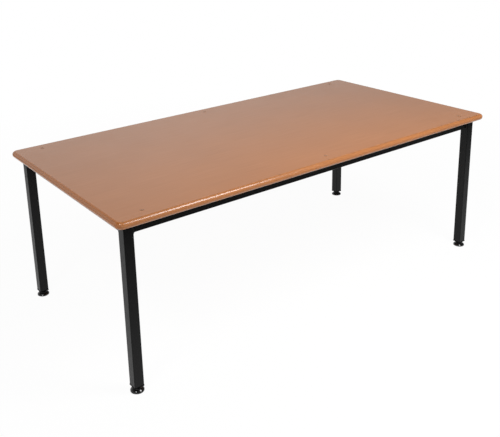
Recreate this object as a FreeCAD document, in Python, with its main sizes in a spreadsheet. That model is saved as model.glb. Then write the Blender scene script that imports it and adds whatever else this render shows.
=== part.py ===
# Steel frame table: a round-edged board screwed to a welded frame of square tube on levelling feet.
# Millimetres. X runs along the long side, Y to the back, Z up. The origin is on the floor, mid table.

import FreeCAD, Part
import math
import os
import Sketcher

SIZES = {
    # Top board
    "board_length": 2000,
    "board_width": 1000,
    "board_thickness": 28,
    "table_height": 700,
    "plan_corner_radius": 28,
    "edge_upper_radius": 13.5,
    "edge_flat": 0.5,
    # Frame of welded tube
    "frame_inset_ends": 37,
    "frame_inset_sides": 38,
    "leg_side": 40,
    "leg_wall": 1.5,
    "leg_corner_radius": 3,
    "rail_height": 40,
    "rail_width": 25,
    "rail_wall": 1.5,
    "rail_corner_radius": 2.5,
    "weld_size": 4,
    "weld_toe": 0.4,
    "weld_top_gap": 2,
    # Screws that hold the board, and the caps over them
    "screw_end_offset": 125,
    "screw_diameter": 6,
    "screw_length": 35,
    "screw_tip_length": 5,
    "screw_tip_diameter": 2,
    "screw_head_diameter": 12,
    "screw_head_height": 4,
    "drive_across_flats": 4,
    "drive_depth": 2.5,
    "cap_margin": 2,
    "cap_thickness": 4,
    "cap_crown": 0.8,
    "cap_clearance": 0.1,
    "board_hole_clearance": 0.3,
    "rail_hole_clearance": 0.05,
    # Tube inserts and their nuts
    "insert_flange_thickness": 4,
    "insert_flange_lip": 0.8,
    "insert_plug_height": 25,
    "insert_plug_wall": 3,
    "insert_groove": 3.5,
    "insert_clearance": 0.1,
    "nut_across_flats": 17,
    "nut_height": 8,
    "nut_cover": 6,
    "nut_clearance": 0.05,
    # Levelling feet
    "pad_diameter": 53,
    "pad_rim_height": 4.5,
    "pad_rim_wall": 3.4,
    "pad_rim_chamfer": 1.2,
    "pad_cone_rise": 8,
    "pad_hub_diameter": 32,
    "pad_hub_band": 0.5,
    "pad_hub_chamfer": 1.5,
    "sole_recess": 2.5,
    "sole_proud": 0.5,
    "sole_clearance": 0.1,
    "stem_diameter": 10,
    "stem_length": 45,
    "stem_chamfer": 1,
    "stem_clearance": 0.05,
    "stem_head_lip": 2,
    "stem_head_height": 2.5,
    "head_room": 0.3,
    "collar_across_flats": 17,
    "collar_height": 6,
    "collar_seat_gap": 0.1,
    "stop_gap": 0.6,
}

CORNERS = {
    "front_left": (-1, -1),
    "front_right": (1, -1),
    "back_left": (-1, 1),
    "back_right": (1, 1),
}
HEX_SIDES = 6
FLATS_PER_CORNER_RADIUS = math.sqrt(3)
QUARTER_TURN = math.pi / 2


class Size:
    """A length: the expression on the sheet that drives it, and its present value."""

    def __init__(self, text, number):
        self.text = text
        self.number = number

    def __add__(self, other):
        other = as_size(other)
        return Size(f"({self.text} + {other.text})", self.number + other.number)

    def __sub__(self, other):
        other = as_size(other)
        return Size(f"({self.text} - {other.text})", self.number - other.number)

    def __mul__(self, other):
        other = as_size(other)
        return Size(f"({self.text} * {other.text})", self.number * other.number)

    def __truediv__(self, other):
        other = as_size(other)
        return Size(f"({self.text} / {other.text})", self.number / other.number)


def as_size(item):
    if isinstance(item, Size):
        return item
    return Size(f"({item})", float(item))


doc = FreeCAD.newDocument("steel_frame_table")
sheet = doc.addObject("Spreadsheet::Sheet", "Sizes")
for row, (alias, number) in enumerate(SIZES.items(), start=1):
    sheet.set(f"A{row}", alias)
    sheet.set(f"B{row}", str(number))
    sheet.setAlias(f"B{row}", alias)
doc.recompute()

sub_parts = []


def size(alias):
    return Size(f"Sizes.{alias}", float(sheet.get(alias)))


def bind(thing, **sizes):
    for name, value in sizes.items():
        thing.setExpression(name, as_size(value).text)


def place(thing, x, y, z, turn=0):
    """Put a thing at x, y, z, turned about Z by a fixed angle in degrees."""
    thing.Placement.Rotation = FreeCAD.Rotation(FreeCAD.Vector(0, 0, 1), turn)
    for axis, value in zip("xyz", (x, y, z)):
        thing.setExpression(f"Placement.Base.{axis}", as_size(value).text)


def name_node(thing, label):
    thing.Label = label
    sub_parts.append(thing)
    return thing


def new_body(label):
    return name_node(doc.addObject("PartDesign::Body", f"Body_{label}"), label)


def new_sketch(body, plane_role, lift=0):
    """A sketch on one of the body's origin planes, lifted along the plane's normal."""
    sketch = body.newObject("Sketcher::SketchObject", f"{body.Name}_sketch")
    plane = next(item for item in body.Origin.OriginFeatures if item.Role == plane_role)
    sketch.AttachmentSupport = [(plane, "")]
    sketch.MapMode = "FlatFace"
    sketch.setExpression("AttachmentOffset.Base.z", as_size(lift).text)
    return sketch


def dimension(sketch, kind, *where, value):
    """Add a dimension to the sketch and tie it to the sheet."""
    index = sketch.addConstraint(Sketcher.Constraint(kind, *where, value.number))
    sketch.setExpression(f"Constraints[{index}]", value.text)


def fix_point(sketch, shape, point, x, y):
    """Hold a point of the sketch at x, y from the sketch's origin."""
    for kind, axis, value in (("DistanceX", -2, as_size(x)), ("DistanceY", -1, as_size(y))):
        if value.number == 0:
            sketch.addConstraint(Sketcher.Constraint("PointOnObject", shape, point, axis))
        elif value.number > 0:
            dimension(sketch, kind, -1, 1, shape, point, value=value)
        else:
            dimension(sketch, kind, shape, point, -1, 1, value=value * -1)


def draw_circle(sketch, x, y, diameter):
    centre = FreeCAD.Vector(as_size(x).number, as_size(y).number, 0)
    circle = sketch.addGeometry(Part.Circle(centre, FreeCAD.Vector(0, 0, 1), diameter.number / 2))
    fix_point(sketch, circle, 3, x, y)
    dimension(sketch, "Diameter", circle, value=diameter)


def draw_outline(sketch, points):
    """A closed outline of straight lines through points that are pairs of sizes."""
    corners = [FreeCAD.Vector(as_size(x).number, as_size(y).number, 0) for x, y in points]
    lines = []
    for start, end in zip(corners, corners[1:] + corners[:1]):
        lines.append(sketch.addGeometry(Part.LineSegment(start, end)))
    for line, following in zip(lines, lines[1:] + lines[:1]):
        sketch.addConstraint(Sketcher.Constraint("Coincident", line, 2, following, 1))
    for line, (x, y) in zip(lines, points):
        fix_point(sketch, line, 1, x, y)


def draw_hexagon(sketch, across_flats):
    half_flat = across_flats / 2
    corner = across_flats / FLATS_PER_CORNER_RADIUS
    upper = corner / 2
    lower = corner / -2
    opposite = half_flat * -1
    draw_outline(sketch, [
        (half_flat, lower), (half_flat, upper), (0, corner),
        (opposite, upper), (opposite, lower), (0, corner * -1),
    ])


def draw_rounded_rectangle(sketch, width, height, radius):
    """A rectangle about the sketch's origin with its four corners rounded."""
    right, top, round_off = width.number / 2, height.number / 2, radius.number
    runs = (
        ((round_off - right, -top), (right - round_off, -top), "Horizontal"),
        ((right, round_off - top), (right, top - round_off), "Vertical"),
        ((right - round_off, top), (round_off - right, top), "Horizontal"),
        ((-right, top - round_off), (-right, round_off - top), "Vertical"),
    )
    centres = ((1, -1), (1, 1), (-1, 1), (-1, -1))
    lines = []
    arcs = []
    for step, (start, end, direction) in enumerate(runs):
        line = Part.LineSegment(FreeCAD.Vector(*start, 0), FreeCAD.Vector(*end, 0))
        lines.append(sketch.addGeometry(line))
        sketch.addConstraint(Sketcher.Constraint(direction, lines[-1]))
        side_x, side_y = centres[step]
        centre = FreeCAD.Vector(side_x * (right - round_off), side_y * (top - round_off), 0)
        circle = Part.Circle(centre, FreeCAD.Vector(0, 0, 1), round_off)
        arc = Part.ArcOfCircle(circle, (step - 1) * QUARTER_TURN, step * QUARTER_TURN)
        arcs.append(sketch.addGeometry(arc))
    for line, arc, following in zip(lines, arcs, lines[1:] + lines[:1]):
        sketch.addConstraint(Sketcher.Constraint("Tangent", line, 2, arc, 1))
        sketch.addConstraint(Sketcher.Constraint("Tangent", arc, 2, following, 1))
    for arc in arcs[1:]:
        sketch.addConstraint(Sketcher.Constraint("Equal", arcs[0], arc))
    sketch.addConstraint(Sketcher.Constraint("Symmetric", arcs[0], 3, arcs[2], 3, -1, 1))
    dimension(sketch, "DistanceX", lines[3], 1, lines[1], 1, value=width)
    dimension(sketch, "DistanceY", lines[0], 1, lines[2], 1, value=height)
    dimension(sketch, "Radius", arcs[0], value=radius)


def add_pad(body, sketch, length):
    pad = body.newObject("PartDesign::Pad", f"{body.Name}_pad")
    pad.Profile = sketch
    bind(pad, Length=length)
    return pad


def add_pocket(body, sketch, depth, upwards=False):
    """Cut the sketch into the body, down from its plane or up from it, and make sure that it cuts."""
    doc.recompute()
    before = body.Shape.Volume
    pocket = body.newObject("PartDesign::Pocket", f"{body.Name}_pocket")
    pocket.Profile = sketch
    pocket.Reversed = upwards
    bind(pocket, Length=depth)
    doc.recompute()
    if body.Shape.Volume >= before:
        raise RuntimeError(f"{body.Label}: a pocket cuts nothing")


def fillet_level_edges(body, base, level, radius):
    """Round every edge of the base feature that lies flat at one level."""
    doc.recompute()
    names = []
    for index, edge in enumerate(base.Shape.Edges, start=1):
        box = edge.BoundBox
        if abs(box.ZMin - level.number) < 1e-6 and abs(box.ZMax - level.number) < 1e-6:
            names.append(f"Edge{index}")
    fillet = body.newObject("PartDesign::Fillet", f"{body.Name}_fillet")
    fillet.Base = (base, names)
    bind(fillet, Radius=radius)
    return fillet


def add_primitive(kind, **sizes):
    primitive = doc.addObject(f"Part::{kind}", kind)
    bind(primitive, **sizes)
    return primitive


def add_prism(across_flats, height):
    prism = add_primitive("Prism", Circumradius=across_flats / FLATS_PER_CORNER_RADIUS, Height=height)
    prism.Polygon = HEX_SIDES
    return prism


def join(shapes):
    fusion = doc.addObject("Part::MultiFuse", "Fusion")
    fusion.Shapes = shapes
    return fusion


def cut(base, tool):
    difference = doc.addObject("Part::Cut", "Cut")
    difference.Base = base
    difference.Tool = tool
    return difference


def group(shapes, label):
    """Separate solids that share one node."""
    compound = doc.addObject("Part::Compound", f"Group_{label}")
    compound.Links = shapes
    return name_node(compound, label)


# Levels and places that several pieces share
board_bottom = size("table_height") - size("board_thickness")
pad_bottom = size("sole_proud")
pad_height = (
    size("pad_rim_height") + size("pad_cone_rise") + size("pad_hub_band") + size("pad_hub_chamfer"))
hub_top = pad_bottom + pad_height
sole_diameter = size("pad_diameter") - size("pad_rim_wall") * 2
stem_head_radius = size("stem_diameter") / 2 + size("stem_head_lip")
collar_bottom = hub_top + size("collar_seat_gap")
collar_top = collar_bottom + size("collar_height")
insert_bottom = collar_top + size("stop_gap")
leg_bottom = insert_bottom + size("insert_flange_thickness")
leg_x = size("board_length") / 2 - size("frame_inset_ends") - size("leg_side") / 2
leg_y = size("board_width") / 2 - size("frame_inset_sides") - size("leg_side") / 2
screw_x = size("board_length") / 2 - size("screw_end_offset")
screw_places = [(screw_x * along, leg_y * across) for across in (-1, 1) for along in (-1, 0, 1)]
cap_seat_diameter = size("screw_head_diameter") + size("cap_margin") * 2
cap_seat_depth = size("cap_thickness") + size("screw_head_height")


def make_top_board():
    body = new_body("top_board")
    place(body, 0, 0, board_bottom)
    thickness = size("board_thickness")
    outline = new_sketch(body, "XY_Plane")
    draw_rounded_rectangle(outline, size("board_length"), size("board_width"), size("plan_corner_radius"))
    slab = add_pad(body, outline, thickness)
    upper = fillet_level_edges(body, slab, thickness, size("edge_upper_radius"))
    lower_radius = thickness - size("edge_upper_radius") - size("edge_flat")
    fillet_level_edges(body, upper, as_size(0), lower_radius)
    holes = new_sketch(body, "XY_Plane")
    seats = new_sketch(body, "XY_Plane", thickness)
    for x, y in screw_places:
        draw_circle(holes, x, y, size("screw_diameter") + size("board_hole_clearance") * 2)
        draw_circle(seats, x, y, cap_seat_diameter)
    add_pocket(body, seats, cap_seat_depth)
    add_pocket(body, holes, thickness, upwards=True)


def make_leg(corner, x, y):
    body = new_body(f"leg_{corner}")
    place(body, x, y, leg_bottom)
    side, wall, radius = size("leg_side"), size("leg_wall"), size("leg_corner_radius")
    section = new_sketch(body, "XY_Plane")
    draw_rounded_rectangle(section, side, side, radius)
    draw_rounded_rectangle(section, side - wall * 2, side - wall * 2, radius - wall)
    add_pad(body, section, board_bottom - leg_bottom)


def make_rail(label, start_x, start_y, length, turn, hole_places=()):
    """A rail that starts at a leg's inner face, with screw holes in its upper wall."""
    body = new_body(label)
    place(body, start_x, start_y, board_bottom - size("rail_height") / 2, turn)
    width, height = size("rail_width"), size("rail_height")
    wall, radius = size("rail_wall"), size("rail_corner_radius")
    section = new_sketch(body, "YZ_Plane")
    draw_rounded_rectangle(section, width, height, radius)
    draw_rounded_rectangle(section, width - wall * 2, height - wall * 2, radius - wall)
    add_pad(body, section, length)
    if hole_places:
        holes = new_sketch(body, "XY_Plane", height / 2)
        for x in hole_places:
            draw_circle(holes, x, 0, size("screw_diameter") + size("rail_hole_clearance") * 2)
        add_pocket(body, holes, wall * 2)


def make_rails():
    inner_x = leg_x - size("leg_side") / 2
    inner_y = leg_y - size("leg_side") / 2
    hole_places = [inner_x + screw_x * along for along in (-1, 0, 1)]
    make_rail("rail_front", inner_x * -1, leg_y * -1, inner_x * 2, 0, hole_places)
    make_rail("rail_back", inner_x * -1, leg_y, inner_x * 2, 0, hole_places)
    make_rail("rail_left", leg_x * -1, inner_y * -1, inner_y * 2, 90)
    make_rail("rail_right", leg_x, inner_y * -1, inner_y * 2, 90)


def make_bead(x, y, turn):
    """A fillet weld round the two sides and the underside of a rail's end, local Y along the rail."""
    weld, toe = size("weld_size"), size("weld_toe")
    half_rail, height = size("rail_width") / 2, size("rail_height")
    gap = size("weld_top_gap") * -1
    bead = add_primitive(
        "Wedge",
        Xmin=(half_rail + weld) * -1, Xmax=half_rail + weld,
        X2min=(half_rail + toe) * -1, X2max=half_rail + toe,
        Ymin=0, Ymax=weld,
        Zmin=(height + weld) * -1, Zmax=gap,
        Z2min=(height + toe) * -1, Z2max=gap,
    )
    rail_end = add_primitive("Box", Length=half_rail * 2, Width=weld * 3, Height=height)
    place(rail_end, half_rail * -1, weld * -1, height * -1)
    outline = cut(bead, rail_end)
    place(outline, x, y, board_bottom, turn)
    return outline


def make_welds(corner, side_x, side_y):
    half_leg = size("leg_side") / 2
    along_x = make_bead((leg_x - half_leg) * side_x, leg_y * side_y, 90 * side_x)
    along_y = make_bead(leg_x * side_x, (leg_y - half_leg) * side_y, 90 * (1 + side_y))
    group([along_x, along_y], f"weld_{corner}")


def make_screw(x, y):
    """A socket screw whose head sits at the bottom of the cap's seat."""
    seat = size("table_height") - cap_seat_depth
    straight = size("screw_length") - size("screw_tip_length")
    head = add_primitive(
        "Cylinder", Radius=size("screw_head_diameter") / 2, Height=size("screw_head_height"))
    shank = add_primitive("Cylinder", Radius=size("screw_diameter") / 2, Height=straight)
    place(shank, 0, 0, straight * -1)
    tip = add_primitive(
        "Cone",
        Radius1=size("screw_tip_diameter") / 2,
        Radius2=size("screw_diameter") / 2,
        Height=size("screw_tip_length"),
    )
    place(tip, 0, 0, size("screw_length") * -1)
    drive = add_prism(size("drive_across_flats"), size("drive_depth"))
    place(drive, 0, 0, size("screw_head_height") - size("drive_depth"))
    screw = cut(join([head, shank, tip]), drive)
    place(screw, x, y, seat)
    return screw


def make_cap(x, y):
    """A plug that fills the mouth of the seat, with a low domed face."""
    radius = cap_seat_diameter / 2 - size("cap_clearance")
    crown = size("cap_crown")
    dome_radius = (radius * radius / crown + crown) / 2
    plug = add_primitive("Cylinder", Radius=radius, Height=size("cap_thickness") + crown)
    dome = add_primitive("Sphere", Radius=dome_radius)
    place(dome, 0, 0, size("cap_thickness") + crown - dome_radius)
    cap = doc.addObject("Part::Common", "Common")
    cap.Base = plug
    cap.Tool = dome
    place(cap, x, y, size("table_height") - size("cap_thickness"))
    return cap


def make_insert(corner, x, y):
    """A plastic plug for the tube's end: flange, grooved plug, hexagon pocket and bore."""
    body = new_body(f"insert_{corner}")
    place(body, x, y, insert_bottom)
    flange_side = size("leg_side") + size("insert_flange_lip") * 2
    flange = new_sketch(body, "XY_Plane")
    draw_rounded_rectangle(flange, flange_side, flange_side, size("leg_corner_radius"))
    add_pad(body, flange, size("insert_flange_thickness"))
    inner_radius = size("leg_corner_radius") - size("leg_wall")
    plug_side = size("leg_side") - size("leg_wall") * 2 - size("insert_clearance") * 2
    plug_top = size("insert_flange_thickness") + size("insert_plug_height")
    plug = new_sketch(body, "XY_Plane", size("insert_flange_thickness"))
    draw_rounded_rectangle(plug, plug_side, plug_side, inner_radius)
    add_pad(body, plug, size("insert_plug_height"))
    groove_side = plug_side - size("insert_plug_wall") * 2
    core_side = groove_side - size("insert_groove") * 2
    groove = new_sketch(body, "XY_Plane", plug_top)
    draw_rounded_rectangle(groove, groove_side, groove_side, inner_radius)
    draw_rounded_rectangle(groove, core_side, core_side, inner_radius)
    add_pocket(body, groove, plug_top - size("nut_height") - size("nut_cover"))
    nut_seat = new_sketch(body, "XY_Plane")
    draw_hexagon(nut_seat, size("nut_across_flats") + size("nut_clearance") * 2)
    add_pocket(body, nut_seat, size("nut_height"), upwards=True)
    bore = new_sketch(body, "XY_Plane", plug_top)
    draw_circle(bore, 0, 0, size("stem_diameter") + size("stem_clearance") * 2)
    add_pocket(body, bore, plug_top)


def make_insert_nut(corner, x, y):
    blank = add_prism(size("nut_across_flats"), size("nut_height"))
    blank.Placement.Rotation = FreeCAD.Rotation(FreeCAD.Vector(0, 0, 1), 30)
    bore = add_primitive(
        "Cylinder", Radius=size("stem_diameter") / 2 + size("stem_clearance"), Height=size("nut_height"))
    nut = cut(blank, bore)
    place(nut, x, y, insert_bottom)
    name_node(nut, f"insert_nut_{corner}")


def make_foot_pad(corner, x, y):
    """A turned pad: rim, cone and hub outside; recess for the sole, room for the head and bore inside."""
    body = new_body(f"foot_pad_{corner}")
    place(body, x, y, pad_bottom)
    bore = size("stem_diameter") / 2 + size("stem_clearance")
    head = stem_head_radius + size("head_room")
    head_top = size("sole_recess") + size("stem_head_height") + size("head_room") * 2
    recess = sole_diameter / 2 + size("sole_clearance")
    outer, hub = size("pad_diameter") / 2, size("pad_hub_diameter") / 2
    rim_chamfer, hub_chamfer = size("pad_rim_chamfer"), size("pad_hub_chamfer")
    cone_top = size("pad_rim_height") + size("pad_cone_rise")
    profile = new_sketch(body, "XZ_Plane")
    draw_outline(profile, [
        (bore, head_top), (head, head_top), (head, size("sole_recess")),
        (recess, size("sole_recess")), (recess, 0), (outer, 0),
        (outer, size("pad_rim_height") - rim_chamfer), (outer - rim_chamfer, size("pad_rim_height")),
        (hub, cone_top), (hub, cone_top + size("pad_hub_band")),
        (hub - hub_chamfer, pad_height), (bore, pad_height),
    ])
    turned = body.newObject("PartDesign::Revolution", f"{body.Name}_revolution")
    turned.Profile = profile
    turned.ReferenceAxis = (profile, ["V_Axis"])
    turned.Angle = 360


def make_foot_stem(corner, x, y):
    """A stem with a retaining head in the pad, a hexagon collar on the hub and a shank in the nut."""
    head = add_primitive("Cylinder", Radius=stem_head_radius, Height=size("stem_head_height"))
    head_bottom = pad_bottom + size("sole_recess") + size("head_room")
    place(head, 0, 0, head_bottom)
    straight = collar_top + size("stem_length") - size("stem_chamfer") - head_bottom
    shank = add_primitive("Cylinder", Radius=size("stem_diameter") / 2, Height=straight)
    place(shank, 0, 0, head_bottom)
    point = add_primitive(
        "Cone",
        Radius1=size("stem_diameter") / 2,
        Radius2=size("stem_diameter") / 2 - size("stem_chamfer"),
        Height=size("stem_chamfer"),
    )
    place(point, 0, 0, head_bottom + straight)
    collar = add_prism(size("collar_across_flats"), size("collar_height"))
    place(collar, 0, 0, collar_bottom)
    stem = join([head, shank, point, collar])
    place(stem, x, y, 0)
    name_node(stem, f"foot_stem_{corner}")


def make_foot_sole(corner, x, y):
    thickness = size("sole_recess") + size("sole_proud")
    sole = add_primitive("Cylinder", Radius=sole_diameter / 2, Height=thickness)
    place(sole, x, y, 0)
    name_node(sole, f"foot_sole_{corner}")


make_top_board()
group([make_screw(x, y) for x, y in screw_places], "top_screws")
group([make_cap(x, y) for x, y in screw_places], "screw_caps")
make_rails()
for corner_name, (x_side, y_side) in CORNERS.items():
    make_leg(corner_name, leg_x * x_side, leg_y * y_side)
    make_welds(corner_name, x_side, y_side)
    for make_piece in (make_insert, make_insert_nut, make_foot_pad, make_foot_stem, make_foot_sole):
        make_piece(corner_name, leg_x * x_side, leg_y * y_side)

doc.recompute()
for thing in doc.Objects:
    if "Invalid" in thing.State or "Error" in thing.State:
        raise RuntimeError(f"{thing.Label} failed: {thing.State}")
for sub_part in sub_parts:
    if sub_part.Shape.isNull() or not sub_part.Shape.isValid():
        raise RuntimeError(f"{sub_part.Label} has no valid shape")

os.makedirs("parts", exist_ok=True)
for sub_part in sub_parts:
    sub_part.Shape.exportStep(f"parts/{sub_part.Label}.step")
    print(sub_part.Label, len(sub_part.Shape.Solids), round(sub_part.Shape.Volume))
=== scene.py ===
# %% [markdown]
# # A steel frame table
# The table is a tan board with a rounded edge on a black frame of welded tube, standing on four
# levelling feet. Every piece already exists as a solid of its real size, so the lesson starts by
# loading those solids. It then lights them, gives each a finish, and models again the pieces whose
# detail a solid leaves out: the rounded board, the caps, the weld beads, the inserts and the feet.

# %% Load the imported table
import math

import bmesh
import bpy
from mathutils import Matrix, Quaternion, Vector


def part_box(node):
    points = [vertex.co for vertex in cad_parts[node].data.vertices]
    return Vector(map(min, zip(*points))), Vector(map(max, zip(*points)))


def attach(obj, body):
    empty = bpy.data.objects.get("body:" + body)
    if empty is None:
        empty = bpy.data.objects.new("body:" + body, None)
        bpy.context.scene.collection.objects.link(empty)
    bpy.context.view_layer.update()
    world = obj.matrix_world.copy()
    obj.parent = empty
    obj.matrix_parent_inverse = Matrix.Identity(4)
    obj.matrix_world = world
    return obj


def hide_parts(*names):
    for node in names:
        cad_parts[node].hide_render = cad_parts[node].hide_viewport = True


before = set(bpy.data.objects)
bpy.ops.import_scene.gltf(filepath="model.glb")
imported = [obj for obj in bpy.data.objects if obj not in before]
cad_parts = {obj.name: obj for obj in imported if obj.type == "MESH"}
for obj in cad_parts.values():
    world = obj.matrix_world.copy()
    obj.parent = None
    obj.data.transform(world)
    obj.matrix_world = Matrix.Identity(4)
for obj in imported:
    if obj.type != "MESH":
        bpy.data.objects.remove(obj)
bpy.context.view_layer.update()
MM = 0.001
CORNERS = ("front_left", "front_right", "back_left", "back_right")

# %% [markdown]
# ## Camera
# A photograph taken with a normal lens can be matched by hand, but a table has so many straight
# edges that its camera can be worked out from them. The values below are the result: where the lens
# stood, where it pointed and how long it was. The picture was also cropped, so the middle of the lens
# isn't the middle of the image, and Blender says that with the camera's shift.

# %% Camera
IMAGE_WIDTH = 500
IMAGE_HEIGHT = 437
SENSOR_WIDTH = 36
CAMERA_PLACE = Vector((-1.9822, -2.4963, 1.7009))
CAMERA_HEADING = math.radians(54.731)
CAMERA_PITCH = math.radians(-16.341)
CAMERA_ROLL = math.radians(-1.8)
FOCAL_LENGTH_PIXELS = 721.9
LENS_CENTRE_X = 220.5
LENS_CENTRE_Y = 118.5

camera_data = bpy.data.cameras.new("photo_camera")
camera_data.sensor_width = SENSOR_WIDTH
camera_data.lens = FOCAL_LENGTH_PIXELS * SENSOR_WIDTH / IMAGE_WIDTH
camera_data.shift_x = (IMAGE_WIDTH / 2 - LENS_CENTRE_X) / IMAGE_WIDTH
camera_data.shift_y = (LENS_CENTRE_Y - IMAGE_HEIGHT / 2) / IMAGE_WIDTH
camera = bpy.data.objects.new("photo_camera", camera_data)
bpy.context.scene.collection.objects.link(camera)
bpy.context.scene.camera = camera

level = math.cos(CAMERA_PITCH)
line_of_sight = Vector((
    level * math.cos(CAMERA_HEADING),
    level * math.sin(CAMERA_HEADING),
    math.sin(CAMERA_PITCH),
))
camera.rotation_mode = "QUATERNION"
camera.rotation_quaternion = line_of_sight.to_track_quat("-Z", "Y") @ Quaternion((0, 0, 1), CAMERA_ROLL)
camera.location = CAMERA_PLACE
shift = (round(camera_data.shift_x, 3), round(camera_data.shift_y, 3))
print("Lens", round(camera_data.lens, 1), "mm, shift", shift)

# %% [markdown]
# ## Studio
# The table stands in a white studio: bright all round near the floor, and darker overhead and on the
# right. That darkness matters, because the rounded edge of the board mirrors it as a thin dark line. What
# the camera and mirror-like reflections see is this backdrop, while the soft light that it gives is set
# apart with the Light Path node, so that the background can be white without flooding the table.

# %% Helpers for nodes
def add_node(tree, kind, **settings):
    """Adds a node and sets its own properties."""
    node = tree.nodes.new(kind)
    for name, value in settings.items():
        setattr(node, name, value)
    return node


def plug(tree, value, socket):
    """Links another node's output to a socket, or sets a plain value on it."""
    if isinstance(value, bpy.types.NodeSocket):
        tree.links.new(value, socket)
    else:
        socket.default_value = value


def add_math(tree, operation, *values):
    """Arithmetic on other nodes' outputs and plain numbers."""
    node = add_node(tree, "ShaderNodeMath", operation=operation)
    for value, socket in zip(values, node.inputs):
        plug(tree, value, socket)
    return node.outputs[0]


def mix_shaders(tree, share, first, second):
    """Blends two shaders, the second by its share."""
    blend = add_node(tree, "ShaderNodeMixShader")
    for value, socket in zip((share, first, second), blend.inputs):
        plug(tree, value, socket)
    return blend.outputs[0]


def add_seen_directly(tree):
    """1 for rays from the camera, reflections and glass, and 0 for rays that carry soft light."""
    path = add_node(tree, "ShaderNodeLightPath").outputs
    mirrored = add_math(tree, "MAXIMUM", path["Is Glossy Ray"], path["Is Transmission Ray"])
    return add_math(tree, "MAXIMUM", mirrored, path["Is Camera Ray"])


# %% Helpers for colours
def set_stops(ramp, *stops):
    """Gives a colour ramp these (place, colour) stops, and adds some where it has too few."""
    elements = ramp.color_ramp.elements
    while len(elements) < len(stops):
        elements.new(1.0)
    for element, (place, colour) in zip(elements, stops):
        element.position = place
        element.color = colour


def grey(shade):
    """A grey as a colour, from 0 for black to 1 for white."""
    return (shade, shade, shade, 1)


# %% Shades of the studio
DARKER_SIDE = Vector((0.866, -0.5, 0))
DARKER_SIDE_REACH = 3
WHITE_UP_TO = 0.32
DIM_FROM = 0.5
DIM_SHADE = 0.6
CEILING_FROM = 0.8
CEILING_SHADE = 0.12

world = bpy.data.worlds.new("white_studio")
world.use_nodes = True
bpy.context.scene.world = world
sky = world.node_tree
sky.nodes.clear()
direction = add_node(sky, "ShaderNodeTexCoord").outputs["Generated"]
sides = add_node(sky, "ShaderNodeSeparateXYZ")
sky.links.new(direction, sides.inputs[0])
height = sides.outputs["Z"]
towards_dark = add_node(sky, "ShaderNodeVectorMath", operation="DOT_PRODUCT")
towards_dark.inputs[1].default_value = DARKER_SIDE * DARKER_SIDE_REACH
sky.links.new(direction, towards_dark.inputs[0])
darker_half = add_math(sky, "MAXIMUM", towards_dark.outputs["Value"], 0)
raised = add_math(sky, "MULTIPLY_ADD", darker_half, height, height)
studio_shades = add_node(sky, "ShaderNodeValToRGB")
set_stops(
    studio_shades,
    (WHITE_UP_TO, grey(1)),
    (DIM_FROM, grey(DIM_SHADE)),
    (CEILING_FROM, grey(CEILING_SHADE)),
)
sky.links.new(raised, studio_shades.inputs[0])
print("Studio shades:", 1, DIM_SHADE, CEILING_SHADE)

# %% World
AMBIENT_STRENGTH = 1.22

backdrop = add_node(sky, "ShaderNodeBackground")
ambient = add_node(sky, "ShaderNodeBackground")
ambient.inputs["Strength"].default_value = AMBIENT_STRENGTH
for light in (backdrop, ambient):
    sky.links.new(studio_shades.outputs["Color"], light.inputs["Color"])
studio_light = mix_shaders(sky, add_seen_directly(sky), ambient.outputs[0], backdrop.outputs[0])
sky_output = add_node(sky, "ShaderNodeOutputWorld")
sky.links.new(studio_light, sky_output.inputs["Surface"])
print("World nodes:", len(sky.nodes))

# %% [markdown]
# ## Floor
# The floor is plain and pale. Near the table it glows a little less than white, which leaves room for
# the table's soft shadow, and further out it is as white as the backdrop, so no horizon shows. The
# front faces of the legs mirror the floor in front of the table, and in the photograph they are nearly
# black, so in reflections the floor fades towards the front, and a few metres away all round, as if it
# ended there. Levelling feet are made for uneven floors, so the floor is laid as four sheets, and each
# rides on the foot that stands on it. Where a foot is screwed out, its sheet lies lower, and the pad
# doesn't sink into a floor that a real table would push itself up from. Where the sheets meet, their
# borders are folded down, so that no gap opens between a low sheet and a high one.

# %% Brightness of the floor
GLOW_NEAR_TABLE = 0.96
GLOW_FADES_FROM = 1.3
GLOW_FULL_FROM = 3.5
REFLECTED_IN_FRONT = 0.1
REFLECTED_BEHIND = 1
FRONT_Y = -1.6
BEHIND_Y = -0.7
REFLECTED_FAR_OFF = 0.35
REFLECTION_FADES_FROM = 2.5
REFLECTION_FADED_BY = 3.3


def add_range(tree, source, spans, becomes):
    """Spreads a value that runs over one span onto another, and holds it there at both ends."""
    spread = add_node(tree, "ShaderNodeMapRange")
    spread.inputs["From Min"].default_value, spread.inputs["From Max"].default_value = spans
    spread.inputs["To Min"].default_value, spread.inputs["To Max"].default_value = becomes
    tree.links.new(source, spread.inputs["Value"])
    return spread.outputs[0]


paper = bpy.data.materials.new("white_studio_floor")
paper.use_nodes = True
sheet = paper.node_tree
sheet.nodes.clear()
place = add_node(sheet, "ShaderNodeTexCoord").outputs["Object"]
length = add_node(sheet, "ShaderNodeVectorMath", operation="LENGTH")
sheet.links.new(place, length.inputs[0])
distance = length.outputs["Value"]
sides = add_node(sheet, "ShaderNodeSeparateXYZ")
sheet.links.new(place, sides.inputs[0])
glow_share = add_range(sheet, distance, (GLOW_FADES_FROM, GLOW_FULL_FROM), (GLOW_NEAR_TABLE, 1))
seen_glow = add_math(sheet, "MULTIPLY", glow_share, add_seen_directly(sheet))
front_share = add_range(
    sheet, sides.outputs["Y"], (FRONT_Y, BEHIND_Y), (REFLECTED_IN_FRONT, REFLECTED_BEHIND))
far_share = add_range(
    sheet, distance, (REFLECTION_FADES_FROM, REFLECTION_FADED_BY), (1, REFLECTED_FAR_OFF))
reflected_glow = add_math(sheet, "MULTIPLY", front_share, far_share)
print("The floor glows from", GLOW_NEAR_TABLE, "near the table to 1 far away")

# %% Floor paper
FLOOR_SHADE = 0.9

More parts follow.
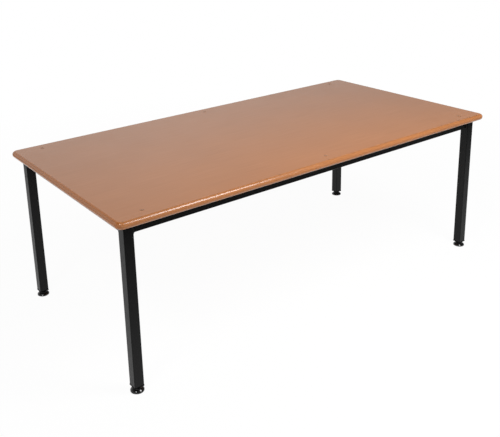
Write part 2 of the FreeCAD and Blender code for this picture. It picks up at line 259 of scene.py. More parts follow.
lit_paper = add_node(sheet, "ShaderNodeBsdfDiffuse")
lit_paper.inputs["Color"].default_value = grey(FLOOR_SHADE)
path = add_node(sheet, "ShaderNodeLightPath")
glow_strength = add_node(sheet, "ShaderNodeMix", data_type="FLOAT")
plug(sheet, path.outputs["Is Camera Ray"], glow_strength.inputs["Factor"])
plug(sheet, reflected_glow, glow_strength.inputs["A"])
plug(sheet, 1, glow_strength.inputs["B"])
glow = add_node(sheet, "ShaderNodeEmission")
sheet.links.new(glow_strength.outputs["Result"], glow.inputs["Strength"])
floor_look = mix_shaders(sheet, seen_glow, lit_paper.outputs[0], glow.outputs[0])
sheet_output = add_node(sheet, "ShaderNodeOutputMaterial")
sheet.links.new(floor_look, sheet_output.inputs["Surface"])
print(paper.name, len(sheet.nodes), "nodes")

# %% Floor sheets
SHEET_WIDTH = 20
SHEET_FOLD = 0.03


def extrude_ring(mesh, ring):
    """Extrudes a row or ring of edges in place, and returns the new vertices and the new edges."""
    made = bmesh.ops.extrude_edge_only(mesh, edges=ring)["geom"]
    verts = [part for part in made if isinstance(part, bmesh.types.BMVert)]
    edges = [part for part in made if isinstance(part, bmesh.types.BMEdge)]
    fresh = set(verts)
    return verts, [edge for edge in edges if set(edge.verts) <= fresh]


def on_border(edge):
    """Whether an edge lies where two sheets meet, under the middle of the table."""
    middle = (edge.verts[0].co + edge.verts[1].co) / 2
    return min(abs(middle.x), abs(middle.y)) < SHEET_FOLD


for corner in CORNERS:
    sheet_mesh = bmesh.new()
    bmesh.ops.create_grid(sheet_mesh, x_segments=1, y_segments=1, size=SHEET_WIDTH / 2)
    towards = Vector((1 if "right" in corner else -1, 1 if "back" in corner else -1, 0))
    bmesh.ops.translate(sheet_mesh, vec=towards * SHEET_WIDTH / 2, verts=sheet_mesh.verts)
    borders = [edge for edge in sheet_mesh.edges if on_border(edge)]
    lowered = extrude_ring(sheet_mesh, borders)[0]
    bmesh.ops.translate(sheet_mesh, vec=(0, 0, -SHEET_FOLD), verts=lowered)
    sheet_data = bpy.data.meshes.new(f"floor_{corner}")
    sheet_mesh.to_mesh(sheet_data)
    sheet_mesh.free()
    sheet_data.materials.append(paper)
    floor_sheet = bpy.data.objects.new(f"floor_{corner}", sheet_data)
    bpy.context.scene.collection.objects.link(floor_sheet)
    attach(floor_sheet, f"foot_{corner}")
print("Floor", 2 * SHEET_WIDTH, "m wide")

# %% [markdown]
# ## Lamps
# The bright line along the front edge of the board ends about halfway, and the top is brightest near the
# front. Both fit one soft box that hangs in front of the table. The feet show it as a streak, and
# beside it they show a round spot: a second lamp, high up on the left.

# %% Lamps
TABLE_MIDDLE = Vector((0, 0, 0.6))


def add_soft_box(name, location, width, height, watts):
    """An area lamp that faces the middle of the table."""
    lamp = bpy.data.lights.new(name, "AREA")
    lamp.shape = "RECTANGLE"
    lamp.size = width
    lamp.size_y = height
    lamp.energy = watts
    box = bpy.data.objects.new(name, lamp)
    bpy.context.scene.collection.objects.link(box)
    box.location = location
    box.rotation_euler = (TABLE_MIDDLE - Vector(location)).to_track_quat("-Z", "Y").to_euler()
    print(name, watts, "W")


add_soft_box("front_soft_box", (0.45, -1.6, 2.3), width=0.9, height=1.1, watts=57)
add_soft_box("left_soft_box", (-3.1, -1.6, 4.2), width=0.8, height=0.8, watts=62)

bpy.context.scene.view_settings.view_transform = "Standard"

# %% [markdown]
# ## Finishes
# Each finish is one Principled shader. What is the same all over a piece is set on its sockets, and
# what varies, such as a faint grain or the pebbled skin of a coating, comes from noise on the piece's own
# coordinates. The table sits at the origin, so these are real metres and the patterns keep their size.

# %% Helpers for finishes
def shade(red, green, blue):
    """A colour picked on a screen, from 0 to 255, turned into light by the sRGB standard's curve."""
    channels = (channel / 255 for channel in (red, green, blue))
    return tuple(c / 12.92 if c <= 0.04045 else ((c + 0.055) / 1.055) ** 2.4 for c in channels) + (1,)


def new_finish(name, **sockets):
    """A material with one Principled shader, with these values on its sockets."""
    finish = bpy.data.materials.new(name)
    finish.use_nodes = True
    shader = finish.node_tree.nodes["Principled BSDF"]
    for socket, value in sockets.items():
        shader.inputs[socket.replace("_", " ")].default_value = value
    return finish, finish.node_tree, shader


# %% Helpers for noise
MIDDLE_OF_NOISE = (0.3, 0.7)


def add_noise(tree, scale, detail=2.0, stretch=(1, 1, 1)):
    """Noise from 0 to 1 on the piece's own coordinates: scale is how many lumps fit in a metre."""
    place = add_node(tree, "ShaderNodeTexCoord")
    mapping = add_node(tree, "ShaderNodeMapping")
    mapping.inputs["Scale"].default_value = stretch
    noise = add_node(tree, "ShaderNodeTexNoise")
    noise.inputs["Scale"].default_value = scale
    noise.inputs["Detail"].default_value = detail
    tree.links.new(place.outputs["Object"], mapping.inputs["Vector"])
    tree.links.new(mapping.outputs["Vector"], noise.inputs["Vector"])
    return noise.outputs["Fac"]


def add_tint(tree, noise, low_shade, high_shade, spans=MIDDLE_OF_NOISE):
    """Turns noise into colours between two shades."""
    ramp = add_node(tree, "ShaderNodeValToRGB")
    set_stops(ramp, *zip(spans, (low_shade, high_shade)))
    tree.links.new(noise, ramp.inputs[0])
    return ramp.outputs["Color"]


def vary_roughness(tree, shader, noise, least, most):
    """Spreads noise between two roughnesses."""
    tree.links.new(add_range(tree, noise, MIDDLE_OF_NOISE, (least, most)), shader.inputs["Roughness"])


# %% [markdown]
# ### Board lacquer
# The top is stained a warm tan and lacquered to a satin. A photograph from two metres shows no grain,
# so the grain here is only a whisper: long fine streaks along the board, a few shades apart, under
# broad clouds of stain. Past the start of their rounding, the two short ends are painted a deeper tan:
# this is painted shade for the darker look of the short ends. How rough the lacquer also varies a
# little, which keeps reflections from looking like glass.

# %% Board lacquer
def multiply_tints(tree, share, first, second):
    """Darkens one colour by a share of another."""
    mix = add_node(tree, "ShaderNodeMix", data_type="RGBA", blend_type="MULTIPLY")
    plug(tree, share, mix.inputs["Factor"])
    plug(tree, first, mix.inputs["A"])
    plug(tree, second, mix.inputs["B"])
    return mix.outputs["Result"]


board_lacquer, tree, shader = new_finish("board_lacquer", Specular_IOR_Level=0.44)
streaks = add_noise(tree, scale=5, detail=3, stretch=(1, 40, 40))
stain = add_tint(tree, streaks, shade(154, 99, 58), shade(162, 105, 63))
clouds = add_tint(tree, add_noise(tree, scale=3), grey(0.95), grey(1))
stained = multiply_tints(tree, 1, stain, clouds)
vary_roughness(tree, shader, add_noise(tree, scale=15), least=0.235, most=0.265)
print(board_lacquer.name, len(tree.nodes), "nodes")

# %% Painted shade on the ends
SHADED_ENDS_FROM = 0.986
SHADED_ENDS_FULL = 0.989
ENDS_PAINTED_SHADE_TINT = (0.97, 0.87, 0.66, 1)

place = add_node(tree, "ShaderNodeTexCoord").outputs["Object"]
sides = add_node(tree, "ShaderNodeSeparateXYZ")
tree.links.new(place, sides.inputs[0])
from_middle = add_math(tree, "ABSOLUTE", sides.outputs["X"])
# Past the start of their rounding, the short ends are tinted deeper: painted shade for their darker look.
ends_shade_share = add_range(tree, from_middle, (SHADED_ENDS_FROM, SHADED_ENDS_FULL), (0, 1))
stain_with_painted_shade = multiply_tints(tree, ends_shade_share, stained, ENDS_PAINTED_SHADE_TINT)
tree.links.new(stain_with_painted_shade, shader.inputs["Base Color"])
print("Painted shade on the ends from", SHADED_ENDS_FROM, "m off the middle")

# %% [markdown]
# ### Powder coat
# The frame is coated with a powder that melts into a tough black skin. It flows out less evenly than
# paint, so it keeps a fine orange-peel texture, about a millimetre from lump to lump.

# %% Powder coat
NARROW_MIDDLE = (0.35, 0.65)


def add_bump(tree, shader, noise, strength, depth):
    """Raises the surface by noise, up to depth metres."""
    bump = add_node(tree, "ShaderNodeBump")
    bump.inputs["Strength"].default_value = strength
    bump.inputs["Distance"].default_value = depth
    tree.links.new(noise, bump.inputs["Height"])
    tree.links.new(bump.outputs["Normal"], shader.inputs["Normal"])


powder_coat, tree, shader = new_finish("powder_coat", Specular_IOR_Level=0.16)
pebbles = add_noise(tree, scale=800)
coat_shades = add_tint(tree, pebbles, grey(0.0025), grey(0.0045), NARROW_MIDDLE)
tree.links.new(coat_shades, shader.inputs["Base Color"])
vary_roughness(tree, shader, add_noise(tree, scale=120, detail=4), least=0.3, most=0.4)
add_bump(tree, shader, pebbles, strength=0.15, depth=0.1 * MM)
print(powder_coat.name, len(tree.nodes), "nodes")

# %% [markdown]
# ### Plastics and rubber
# The caps, inserts, pads and soles are moulded. A cap is a brown a little deeper than the board, with a
# fine even texture, an insert is plain dull black, a pad is polished, with faint scuffs, and a sole is
# soft matt rubber.

# %% Plastics and rubber
MOULDED_DEPTH = 0.05 * MM
LUMPS_PER_CLOUD = 10


def moulded(name, low_shade, high_shade, lumps_per_metre, roughness, bump_strength, level):
    """A moulded finish: a tint and a texture of the same fine lumps, and clouds of uneven gloss."""
    finish, tree, shader = new_finish(name, Specular_IOR_Level=level)
    lumps = add_noise(tree, scale=lumps_per_metre)
    tint = add_tint(tree, lumps, low_shade, high_shade, NARROW_MIDDLE)
    tree.links.new(tint, shader.inputs["Base Color"])
    clouds = add_noise(tree, scale=lumps_per_metre / LUMPS_PER_CLOUD, detail=5)
    vary_roughness(tree, shader, clouds, *roughness)
    add_bump(tree, shader, lumps, bump_strength, MOULDED_DEPTH)
    print(name, len(tree.nodes), "nodes")
    return finish


cap_plastic = moulded(
    "tan_cap_plastic", shade(130, 90, 64), shade(140, 98, 70),
    lumps_per_metre=1500, roughness=(0.4, 0.48), bump_strength=0.05, level=0.3,
)
insert_plastic = moulded(
    "black_insert_plastic", grey(0.002), grey(0.005),
    lumps_per_metre=2500, roughness=(0.55, 0.7), bump_strength=0.2, level=0.05,
)
pad_plastic = moulded(
    "black_pad_plastic", grey(0.004), grey(0.007),
    lumps_per_metre=900, roughness=(0.08, 0.16), bump_strength=0.02, level=0.5,
)
sole_rubber = moulded(
    "black_sole_rubber", grey(0.012), grey(0.024),
    lumps_per_metre=1800, roughness=(0.75, 0.9), bump_strength=0.3, level=0.3,
)

# %% [markdown]
# ### Zinc
# Screws, nuts and stems are steel with a thin layer of zinc, bright on the screws and nuts, and dyed
# black on the stems. It dulls unevenly, and the fine rings left by turning run round each piece, so its
# noise is squeezed along the height.

# %% Zinc
def plated(name, low_shade, high_shade):
    """A plated finish: uneven colour and gloss, and fine rings."""
    finish, tree, shader = new_finish(name, Metallic=1.0)
    spangle = add_noise(tree, scale=250, detail=4)
    tint = add_tint(tree, spangle, low_shade, high_shade)
    tree.links.new(tint, shader.inputs["Base Color"])
    vary_roughness(tree, shader, spangle, least=0.24, most=0.4)
    rings = add_noise(tree, scale=40, stretch=(1, 1, 100))
    add_bump(tree, shader, rings, strength=0.1, depth=0.02 * MM)
    print(name, len(tree.nodes), "nodes")
    return finish


bright_zinc = plated("bright_zinc", shade(168, 172, 176), shade(206, 208, 208))
black_zinc = plated("black_zinc", shade(22, 22, 24), shade(36, 36, 38))

# %% [markdown]
# ## From a bmesh to a piece
# Every new piece ends the same way: its mesh becomes an object at the origin with its finish, it rides on
# the body that carries it, and the solid of the imported table that it stands for is hidden. Smooth
# shading with sharp creases above an angle suits machined shapes. The Weighted Normal modifier then
# lets each large face keep its own direction, so a small rounding doesn't bend the light on a flat.

# %% Helper for pieces
CREASE = math.radians(32)
TINY = 1e-6


def add_piece(mesh, name, finish, body, node):
    """Hands a bmesh to the scene as a piece that rides on a body and stands for a node."""
    bmesh.ops.recalc_face_normals(mesh, faces=mesh.faces)
    data = bpy.data.meshes.new(name)
    mesh.to_mesh(data)
    mesh.free()
    data.materials.append(finish)
    data.shade_smooth()
    data.set_sharp_from_angle(angle=CREASE)
    piece = bpy.data.objects.new(name, data)
    bpy.context.scene.collection.objects.link(piece)
    normals = piece.modifiers.new("even_normals", "WEIGHTED_NORMAL")
    normals.keep_sharp = True
    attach(piece, body)
    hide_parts(node)
    print(name, len(data.polygons), "faces")


# %% [markdown]
# ## Board
# The real board is sawn to size, its corners are rounded in plan, and a router runs round it, once above
# and once below, until the two roundings nearly meet. The same steps make it here: a block, a bevel on
# its four upright edges, then a bevel round its top and one round its bottom. A Bevel modifier could do
# this too, but not with three sizes. The seats for the screws are opened with circles in the flat faces:
# triangle_fill covers what lies between the outline and the circles, and the circles are pushed down.

# %% Helpers for blocks
NEARLY_UPRIGHT = 0.9


def make_block(low, high):
    """A block between two corners."""
    mesh = bmesh.new()
    bmesh.ops.create_cube(mesh, size=1)
    bmesh.ops.scale(mesh, vec=high - low, verts=mesh.verts)
    bmesh.ops.translate(mesh, vec=(low + high) / 2, verts=mesh.verts)
    return mesh


def round_edges(mesh, edges, radius, segments):
    """Rounds edges with a bevel."""
    bmesh.ops.bevel(
        mesh, geom=edges, offset=radius, offset_type="OFFSET", affect="EDGES",
        segments=segments, profile=0.5, material=-1,
    )


def upright_edges(mesh):
    """The edges that stand up, such as those at the corners of a table top."""
    def rise(edge):
        return abs((edge.verts[0].co - edge.verts[1].co).normalized().z)

    return [edge for edge in mesh.edges if rise(edge) > NEARLY_UPRIGHT]


def at_height(element, height):
    """Whether an edge or a face lies level at a height."""
    return all(abs(vert.co.z - height) < TINY for vert in element.verts)


def level_edges(mesh, height):
    """The edges that lie level at a height."""
    return [edge for edge in mesh.edges if at_height(edge, height)]


# %% Helpers for openings
def open_face(mesh, height):
    """Takes out the largest flat face at a height and returns its edges."""
    faces = [face for face in mesh.faces if at_height(face, height)]
    largest = max(faces, key=lambda face: face.calc_area())
    edges = list(largest.edges)
    bmesh.ops.delete(mesh, geom=[largest], context="FACES_ONLY")
    return edges


def add_ring(mesh, centre, radius, sides):
    """A circle or polygon of edges, to open or close a face with."""
    verts = bmesh.ops.create_circle(
        mesh, segments=sides, radius=radius, matrix=Matrix.Translation(centre))["verts"]
    return list({edge for vert in verts for edge in vert.link_edges})


def fill_between(mesh, edges):
    """Covers what lies between an outline and the rings in it."""
    bmesh.ops.triangle_fill(mesh, use_beauty=True, use_dissolve=False, edges=edges)


def push_ring(mesh, ring, centre, rise=0.0, size=1.0):
    """Extrudes a ring of edges up by rise, after growing or shrinking it about its centre."""
    verts, new_ring = extrude_ring(mesh, ring)
    bmesh.ops.scale(mesh, vec=(size, size, 1), space=Matrix.Translation(-centre), verts=verts)
    bmesh.ops.translate(mesh, vec=(0, 0, rise), verts=verts)
    return new_ring


# %% Board block
BOARD_CORNER_RADIUS = 28 * MM
UPPER_EDGE_RADIUS = 13.5 * MM
LOWER_EDGE_RADIUS = 14 * MM

board_low, board_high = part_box("top_board")
board = make_block(board_low, board_high)
round_edges(board, upright_edges(board), BOARD_CORNER_RADIUS, segments=16)
round_edges(board, level_edges(board, board_high.z), UPPER_EDGE_RADIUS, segments=16)
round_edges(board, level_edges(board, board_low.z), LOWER_EDGE_RADIUS, segments=12)
print("Rounded block:", len(board.faces), "faces")

# %% Board with its seats
SEAT_RADIUS = 8 * MM
SEAT_DEPTH = 8 * MM
SEAT_SIDES = 48
SCREW_HOLE_RADIUS = 3.3 * MM
CAP_RADIUS = 7.9 * MM

cap_low, cap_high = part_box("screw_caps")
screw_x = cap_high.x - CAP_RADIUS
screw_y = cap_high.y - CAP_RADIUS
screw_places = [
    Vector((x, y, board_high.z)) for x in (-screw_x, 0, screw_x) for y in (-screw_y, screw_y)
]
top_edges = open_face(board, board_high.z)
bottom_edges = open_face(board, board_low.z)
seats = [add_ring(board, centre, SEAT_RADIUS, SEAT_SIDES) for centre in screw_places]
fill_between(board, top_edges + sum(seats, []))
for centre, seat in zip(screw_places, seats):
    shelf = push_ring(board, seat, centre, rise=-SEAT_DEPTH)
    hole = push_ring(board, shelf, centre, size=SCREW_HOLE_RADIUS / SEAT_RADIUS)
    bottom_edges += push_ring(board, hole, centre, rise=board_low.z - board_high.z + SEAT_DEPTH)
fill_between(board, bottom_edges)
add_piece(board, "tan_board", board_lacquer, "table", "top_board")

# %% [markdown]
# ## Screw caps
# Six brown caps hide the screws. Each is a low dome with a rounded rim that stands barely proud of the
# board, on a skirt that fills the seat. A cap is a turned shape, so half of its outline is drawn as
# points of radius and height, with the dome and the rim as arcs, and spun all the way round. A cut ball
# would give a dome too, but with far too few rings in so shallow a slice.

# %% Helpers for turned pieces
TURNED_SIDES = 72


def arc_points(start, end, radius, steps):
    """Points of an arc from start to end, both (radius, height), that bulges to the left of that way."""
    start, end = Vector(start), Vector(end)
    chord = end - start
    left = Vector((-chord.y, chord.x)).normalized()
    reach = math.sqrt(radius ** 2 - (chord.length / 2) ** 2)
    middle = (start + end) / 2 - left * reach
    first = math.atan2(start.y - middle.y, start.x - middle.x)
    opening = -2 * math.asin(chord.length / 2 / radius)
    turns = [first + opening * step / steps for step in range(steps + 1)]
    return [(middle.x + radius * math.cos(turn), middle.y + radius * math.sin(turn)) for turn in turns]


def turn_outline(mesh, centre, outline, sides=TURNED_SIDES):
    """Spins a closed outline of (radius, height) points round an upright axis."""
    verts = [mesh.verts.new((centre.x + radius, centre.y, height)) for radius, height in outline]
    edges = [mesh.edges.new(pair) for pair in zip(verts, verts[1:] + verts[:1])]
    bmesh.ops.spin(
        mesh, geom=verts + edges, cent=centre, axis=(0, 0, 1), dvec=(0, 0, 0),
        angle=2 * math.pi, steps=sides, use_merge=True, use_duplicate=False,
    )
    bmesh.ops.remove_doubles(mesh, verts=mesh.verts, dist=TINY)


# %% Screw caps
CAP_RINGS = 6
CAP_RIM_WIDTH = 1.5 * MM
CAP_RIM_HEIGHT = 0.6 * MM
CAP_RIM_RADIUS = 1.6 * MM
CAP_DOME_RADIUS = 110 * MM

shoulder = (CAP_RADIUS - CAP_RIM_WIDTH, board_high.z + CAP_RIM_HEIGHT)
dome = arc_points((0, cap_high.z), shoulder, CAP_DOME_RADIUS, CAP_RINGS)
rim = arc_points(shoulder, (CAP_RADIUS, board_high.z), CAP_RIM_RADIUS, CAP_RINGS)
caps = bmesh.new()
for centre in screw_places:
    turn_outline(caps, centre, [(0, cap_low.z)] + dome + rim[1:] + [(CAP_RADIUS, cap_low.z)])
add_piece(caps, "tan_screw_caps", cap_plastic, "table", "screw_caps")

# %% [markdown]
# ## Weld beads
# Each rail is welded to its legs with a fillet bead down one side, under it and up the other. A bead is
# a row of small overlapping puddles, so its surface ripples. It is made like a sweep: the bead's
# section is drawn once as a face, and its outline is extruded along the way round the rail in short
# steps, a little wider and narrower each time. A curve with a bevel could follow the same way, but
# it couldn't ripple. One corner's two beads are made and mirrored for the others. Only the front left
# corner gets fuller beads of its own, because there the photograph shows one that was laid on thicker.

# %% Ripples of a weld bead
RIPPLE_LENGTH = 1.8 * MM
RIPPLE_DEPTH = 0.13
WAVER_LENGTH = 21 * MM
WAVER_DEPTH = 0.05
WELD_END = 3 * MM
WELD_END_SIZE = 0.6


def bead_size(distance, total):
    """How full a bead is at a distance along it: rippled, a little uneven, and thin at both ends."""
    puddle = abs(math.sin(math.pi * distance / RIPPLE_LENGTH))
    waver = math.sin(2 * math.pi * distance / WAVER_LENGTH)
    size = 1 - RIPPLE_DEPTH * (1 - puddle) + WAVER_DEPTH * waver
    from_end = min(distance, total - distance)
    return size * (WELD_END_SIZE + (1 - WELD_END_SIZE) * min(from_end / WELD_END, 1))


# %% Way of a weld bead
RAIL_CORNER_RADIUS = 2.5 * MM
QUARTER_TURN = math.pi / 2


def weld_way(half_width, bottom, top):
    """The way down, under and up a rail: its length, and a helper that gives the frame at a distance."""
    side = top - bottom - RAIL_CORNER_RADIUS
    bend = RAIL_CORNER_RADIUS * QUARTER_TURN
    flat = 2 * (half_width - RAIL_CORNER_RADIUS)
    total = 2 * side + 2 * bend + flat

    def frame_at(distance):
        mirrored = distance > total / 2
        along = total - distance if mirrored else distance
        turn = min(max(along - side, 0) / bend, 1) * QUARTER_TURN
        outward = Vector((0, -math.cos(turn), -math.sin(turn)))
        middle = Vector((0, RAIL_CORNER_RADIUS - half_width, bottom + RAIL_CORNER_RADIUS))
        middle.z += max(side - along, 0)
        middle.y += max(along - side - bend, 0)
        spot = middle + outward * RAIL_CORNER_RADIUS
        if mirrored:
            outward.y = -outward.y
            spot.y = -spot.y
        onward = Vector((1, 0, 0)).cross(outward)
        size = bead_size(distance, total)
        axes = Matrix((Vector((size, 0, 0)), outward * size, onward)).transposed()
        return Matrix.Translation(spot) @ axes.to_4x4()

    return total, frame_at


# %% Helper for weld beads
WELD_FULLNESS = 1.35
WELD_STEP = 0.42 * MM
SECTION_POINTS = 8


def add_bead(mesh, placement, weld, half_width, bottom, top):
    """One bead round a rail's end, drawn where the leg's face is x = 0 and then put in place."""
    total, frame_at = weld_way(half_width, bottom, top)
    turns = [QUARTER_TURN * step / (SECTION_POINTS - 1) for step in range(SECTION_POINTS)]
    power = 2 / WELD_FULLNESS
    section = [Vector((0, 0, 0))]
    section += [weld * Vector((math.sin(turn) ** power, math.cos(turn) ** power, 0)) for turn in turns]
    frame_here = frame_at(0)
    verts = [mesh.verts.new(frame_here @ point) for point in section]
    everything = list(verts)
    ring = list(mesh.faces.new(verts).edges)
    steps = round(total / WELD_STEP)
    for step in range(1, steps + 1):
        frame_next = frame_at(total * step / steps)
        verts, ring = extrude_ring(mesh, ring)
        bmesh.ops.transform(mesh, matrix=frame_next @ frame_here.inverted(), verts=verts)
        everything += verts
        frame_here = frame_next
    bmesh.ops.contextual_create(mesh, geom=ring)
    bmesh.ops.transform(mesh, matrix=placement, verts=everything)


# %% Weld beads
WELD_SIZE = 4 * MM
FULL_WELD_SIZE = 6.5 * MM
WELD_TOP_GAP = 2 * MM

rail_low, rail_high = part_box("rail_front")
rail_half_width = (rail_high.y - rail_low.y) / 2
weld_top = rail_high.z - WELD_TOP_GAP
leg_low, leg_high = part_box("leg_front_left")
leg_centre = (leg_low + leg_high) / 2
leg_axis = Matrix.Translation((leg_centre.x, leg_centre.y, 0))
leg_face = Matrix.Translation((leg_high.x - leg_centre.x, 0, 0))
corner_beads = {}
for weld in (WELD_SIZE, FULL_WELD_SIZE):
    corner_beads[weld] = bmesh.new()
    for heading in (0, QUARTER_TURN):
        placement = leg_axis @ Matrix.Rotation(heading, 4, "Z") @ leg_face
        add_bead(corner_beads[weld], placement, weld, rail_half_width, rail_low.z, weld_top)
for corner in CORNERS:
    beads = corner_beads[FULL_WELD_SIZE if corner == "front_left" else WELD_SIZE].copy()
    mirror = (-1 if "right" in corner else 1, -1 if "back" in corner else 1, 1)
    bmesh.ops.scale(beads, vec=mirror, verts=beads.verts)
    add_piece(beads, f"weld_beads_{corner}", powder_coat, "table", f"weld_{corner}")
for beads in corner_beads.values():
    beads.free()

# %% [markdown]
# ## Tube inserts
# Each leg is closed by a black plastic insert: a flange a little wider than the tube, and a plug with
# ribs that grip the inside. A rounded block makes the flange. Its upper face is then extruded again and
# again, in and out by a rib's depth, as the mould would show it. Below, a six-sided pocket holds the
# nut, and a round bore lets the stem through.

# %% Helpers for ribs
RIB_COUNT = 4
RIB_DEPTH = 0.03
RIB_GROOVE = 0.3


def raise_face(mesh, face, centre, rise=0.0, size=1.0):
    """Extrudes one level face up, after growing or shrinking it about its centre."""
    face = bmesh.ops.extrude_discrete_faces(mesh, faces=[face])["faces"][0]
    bmesh.ops.scale(mesh, vec=(size, size, 1), space=Matrix.Translation(-centre), verts=face.verts)
    bmesh.ops.translate(mesh, vec=(0, 0, rise), verts=face.verts)
    return face


def raise_ribs(mesh, face, centre, rib_step):
    """Raises a level face rib by rib, with a groove after each."""
    for rib in range(RIB_COUNT):
        face = raise_face(mesh, face, centre, rise=rib_step * (1 - RIB_GROOVE))
        face = raise_face(mesh, face, centre, size=1 - RIB_DEPTH)
        face = raise_face(mesh, face, centre, rise=rib_step * RIB_GROOVE)
        if rib < RIB_COUNT - 1:
            face = raise_face(mesh, face, centre, size=1 / (1 - RIB_DEPTH))


# %% Helpers for the nut's pocket
NUT_ACROSS_FLATS = 17.1 * MM
NUT_HEIGHT = 8 * MM
BORE_RADIUS = 5.05 * MM
BORE_SIDES = 48
HEXAGON = 6


def hexagon_radius(across_flats):
    """From the middle of a hexagon to its corner."""
    return across_flats / 2 / math.cos(math.pi / HEXAGON)


def open_pocket(mesh, centre, bottom, top):
    """Opens a six-sided pocket in the underside, and a round bore from there to the top."""
    under = open_face(mesh, bottom)
    pocket_centre = Vector((centre.x, centre.y, bottom))
    pocket = add_ring(mesh, pocket_centre, hexagon_radius(NUT_ACROSS_FLATS), HEXAGON)
    fill_between(mesh, under + pocket)
    ceiling = push_ring(mesh, pocket, centre, rise=NUT_HEIGHT)
    bore = add_ring(mesh, pocket_centre + Vector((0, 0, NUT_HEIGHT)), BORE_RADIUS, BORE_SIDES)
    fill_between(mesh, ceiling + bore)
    bore_end = push_ring(mesh, bore, centre, rise=top - bottom - NUT_HEIGHT)
    fill_between(mesh, open_face(mesh, top) + bore_end)


# %% Tube inserts
FLANGE_HEIGHT = 4 * MM
FLANGE_CORNER_RADIUS = 3 * MM
FLANGE_ROUNDING = 0.8 * MM
PLUG_INSET = 2.4 * MM

for corner in CORNERS:
    low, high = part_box(f"insert_{corner}")
    centre = (low + high) / 2
    flange_top = low.z + FLANGE_HEIGHT
    insert = make_block(low, Vector((high.x, high.y, flange_top)))
    round_edges(insert, upright_edges(insert), FLANGE_CORNER_RADIUS, segments=6)
    round_edges(insert, level_edges(insert, low.z), FLANGE_ROUNDING, segments=4)
    crown = next(face for face in insert.faces if at_height(face, flange_top))
    bmesh.ops.inset_region(insert, faces=[crown], thickness=PLUG_INSET, use_even_offset=True)
    raise_ribs(insert, crown, centre, (high.z - flange_top) / RIB_COUNT)
    open_pocket(insert, centre, low.z, high.z)
    add_piece(insert, f"tube_insert_{corner}", insert_plastic, "table", f"insert_{corner}")

# %% [markdown]
# ## Pads
# A pad is turned like a cap: a flat rim, a slightly domed slope up to a hub, and a bore for the stem.
# The dome shows in the photograph, because the lamps make spots on it and not long lines, as they would
# on a straight cone. The rest of the outline has sharp corners, because a bevel on the finished rims
# rounds them more evenly than arcs drawn by hand.

# %% Helper for rims
def round_rim(mesh, centre, radius, height, rounding, segments=5):
    """Rounds the rim that has this radius and height."""
    def on_rim(vert):
        away = Vector((vert.co.x - centre.x, vert.co.y - centre.y)).length
        return abs(away - radius) < TINY and abs(vert.co.z - height) < TINY

    rim = [edge for edge in mesh.edges if all(on_rim(vert) for vert in edge.verts)]
    round_edges(mesh, rim, rounding, segments)


# %% Pads
PAD_RADIUS = 26.5 * MM
PAD_RIM_HEIGHT = 4.5 * MM
PAD_DOME_RISE = 8 * MM
PAD_HUB_RADIUS = 16 * MM
SOLE_RECESS_RADIUS = 23.2 * MM
SOLE_RECESS_DEPTH = 2.5 * MM
HEAD_ROOM_RADIUS = 7.3 * MM
HEAD_ROOM_HEIGHT = 3.1 * MM
PAD_DOME_RADIUS = 24 * MM
PAD_DOME_RINGS = 10
PAD_RIM_ROUNDING = 0.9 * MM
PAD_HUB_ROUNDING = 1.8 * MM
PAD_FOOT_ROUNDING = 0.6 * MM

for corner in CORNERS:
    low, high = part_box(f"foot_pad_{corner}")
    centre = (low + high) / 2
    recess_top = low.z + SOLE_RECESS_DEPTH
    rim_top = low.z + PAD_RIM_HEIGHT
    head_top = recess_top + HEAD_ROOM_HEIGHT
    hub_foot = (PAD_HUB_RADIUS, rim_top + PAD_DOME_RISE)
    dome = arc_points(hub_foot, (PAD_RADIUS, rim_top), PAD_DOME_RADIUS, PAD_DOME_RINGS)[::-1]
    pad = bmesh.new()
    turn_outline(pad, centre, [
        (BORE_RADIUS, head_top), (HEAD_ROOM_RADIUS, head_top), (HEAD_ROOM_RADIUS, recess_top),
        (SOLE_RECESS_RADIUS, recess_top), (SOLE_RECESS_RADIUS, low.z), (PAD_RADIUS, low.z),
        *dome, (PAD_HUB_RADIUS, high.z), (BORE_RADIUS, high.z),
    ])
    round_rim(pad, centre, PAD_RADIUS, low.z, PAD_FOOT_ROUNDING)
    round_rim(pad, centre, PAD_RADIUS, rim_top, PAD_RIM_ROUNDING)
    round_rim(pad, centre, PAD_HUB_RADIUS, high.z, PAD_HUB_ROUNDING)
    foot = f"foot_{corner}"
    add_piece(pad, f"levelling_pad_{corner}", pad_plastic, foot, f"foot_pad_{corner}")

# %% [markdown]
# ## Soles
# A rubber sole closes the underside of each pad and keeps it from sliding. Rings are moulded into it for
# grip, and they only need a few more points in the outline before it is spun.

# %% Soles
SOLE_GROOVES = 3
SOLE_GROOVE_DEPTH = 0.8 * MM
SOLE_ROUNDING = 0.3 * MM

for corner in CORNERS:
    low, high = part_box(f"foot_sole_{corner}")
    centre = (low + high) / 2
    sole_radius = (high.x - low.x) / 2
    ring_step = sole_radius / (2 * SOLE_GROOVES + 1)
    tread = [(0, low.z)]
    for groove in range(SOLE_GROOVES):
        inner = ring_step * (2 * groove + 1)
        outer = inner + ring_step
        groove_top = low.z + SOLE_GROOVE_DEPTH
        tread += [(inner, low.z), (inner, groove_top), (outer, groove_top), (outer, low.z)]
    sole = bmesh.new()
    turn_outline(sole, centre, tread + [(sole_radius, low.z), (sole_radius, high.z), (0, high.z)])
    round_rim(sole, centre, sole_radius, low.z, SOLE_ROUNDING, segments=3)
    foot = f"foot_{corner}"
    add_piece(sole, f"rubber_sole_{corner}", sole_rubber, foot, f"foot_sole_{corner}")

# %% [markdown]
# ## Stems
# A stem is a threaded rod with a six-sided collar for a spanner, and a head that holds it in its pad.
# The thread is a true helix. One tooth of it is drawn beside the axis and spun many times round while
# it climbs by one pitch a turn, and merging doubles then joins each turn to the next.

# %% Helper for threads
THREAD_PITCH = 1.5 * MM
THREAD_CREST_RADIUS = 5 * MM
THREAD_ROOT_RADIUS = 4.2 * MM
THREAD_SIDES = 32
TOOTH_RISES_FROM = 0.2
CREST_FROM = 0.5
CREST_TO = 0.7


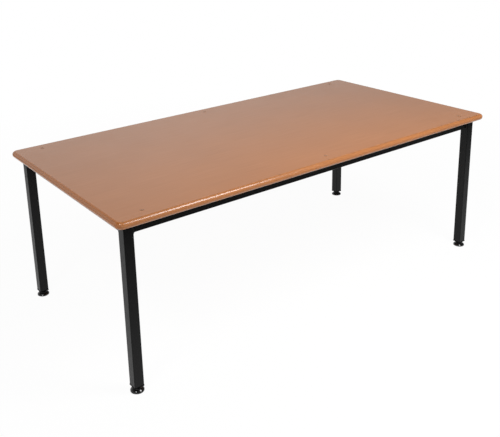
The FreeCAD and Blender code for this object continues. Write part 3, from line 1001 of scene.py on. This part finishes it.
def add_thread(mesh, centre, bottom, top):
    """A right-hand thread from bottom to top, with flat ends."""
    tooth = (
        (THREAD_ROOT_RADIUS, 0), (THREAD_ROOT_RADIUS, TOOTH_RISES_FROM),
        (THREAD_CREST_RADIUS, CREST_FROM), (THREAD_CREST_RADIUS, CREST_TO), (THREAD_ROOT_RADIUS, 1),
    )
    start = bottom - THREAD_PITCH
    turns = math.ceil((top - start) / THREAD_PITCH) + 1
    outline = [(radius, start + part * THREAD_PITCH) for radius, part in tooth]
    verts = [mesh.verts.new((centre.x + radius, centre.y, height)) for radius, height in outline]
    edges = [mesh.edges.new(pair) for pair in zip(verts, verts[1:])]
    bmesh.ops.spin(
        mesh, geom=verts + edges, cent=centre, axis=(0, 0, 1), dvec=(0, 0, THREAD_PITCH / THREAD_SIDES),
        angle=2 * math.pi * turns, steps=THREAD_SIDES * turns, use_merge=False, use_duplicate=False,
    )
    bmesh.ops.remove_doubles(mesh, verts=mesh.verts, dist=TINY)
    for height, keeps_above in ((bottom, True), (top, False)):
        bmesh.ops.bisect_plane(
            mesh, geom=mesh.verts[:] + mesh.edges[:] + mesh.faces[:],
            plane_co=(0, 0, height), plane_no=(0, 0, 1),
            clear_inner=keeps_above, clear_outer=not keeps_above,
        )
    bmesh.ops.holes_fill(mesh, edges=mesh.edges[:])


# %% Stems
STEM_SIDES = 48
STEM_HEAD_RADIUS = 7 * MM
STEM_HEAD_HEIGHT = 2.5 * MM
COLLAR_ACROSS_FLATS = 17 * MM
COLLAR_BOTTOM = 15.1 * MM
COLLAR_TOP = 21.1 * MM
COLLAR_ROUNDING = 0.5 * MM

for corner in CORNERS:
    low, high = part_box(f"foot_stem_{corner}")
    centre = (low + high) / 2
    stem = bmesh.new()
    add_thread(stem, centre, COLLAR_TOP, high.z)
    head_end = low.z + STEM_HEAD_HEIGHT
    turn_outline(stem, centre, [
        (0, low.z), (STEM_HEAD_RADIUS, low.z), (STEM_HEAD_RADIUS, head_end),
        (THREAD_CREST_RADIUS, head_end), (THREAD_CREST_RADIUS, COLLAR_BOTTOM), (0, COLLAR_BOTTOM),
    ], sides=STEM_SIDES)
    collar_centre = Vector((centre.x, centre.y, COLLAR_BOTTOM))
    collar = add_ring(stem, collar_centre, hexagon_radius(COLLAR_ACROSS_FLATS), HEXAGON)
    collar_end = push_ring(stem, collar, collar_centre, rise=COLLAR_TOP - COLLAR_BOTTOM)
    bmesh.ops.contextual_create(stem, geom=collar)
    bmesh.ops.contextual_create(stem, geom=collar_end)
    round_edges(stem, collar + collar_end, COLLAR_ROUNDING, segments=3)
    body = f"stem_{corner}"
    add_piece(stem, f"threaded_stem_{corner}", black_zinc, body, f"foot_stem_{corner}")

# %% [markdown]
# ## Finishes on the solids that stay
# The tubes of the frame, the nuts and the screws already have their real shape as solids, with rounded
# tube corners and all. They keep it, and only take the new finishes.

# %% Finishes on the solids that stay
kept_solids = {
    "rail_front": powder_coat,
    "rail_back": powder_coat,
    "rail_left": powder_coat,
    "rail_right": powder_coat,
    "top_screws": bright_zinc,
}
for corner in CORNERS:
    kept_solids[f"leg_{corner}"] = powder_coat
    kept_solids[f"insert_nut_{corner}"] = bright_zinc
for node, finish in kept_solids.items():
    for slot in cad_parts[node].material_slots:
        slot.material = finish
print("Solids with a new finish:", len(kept_solids))
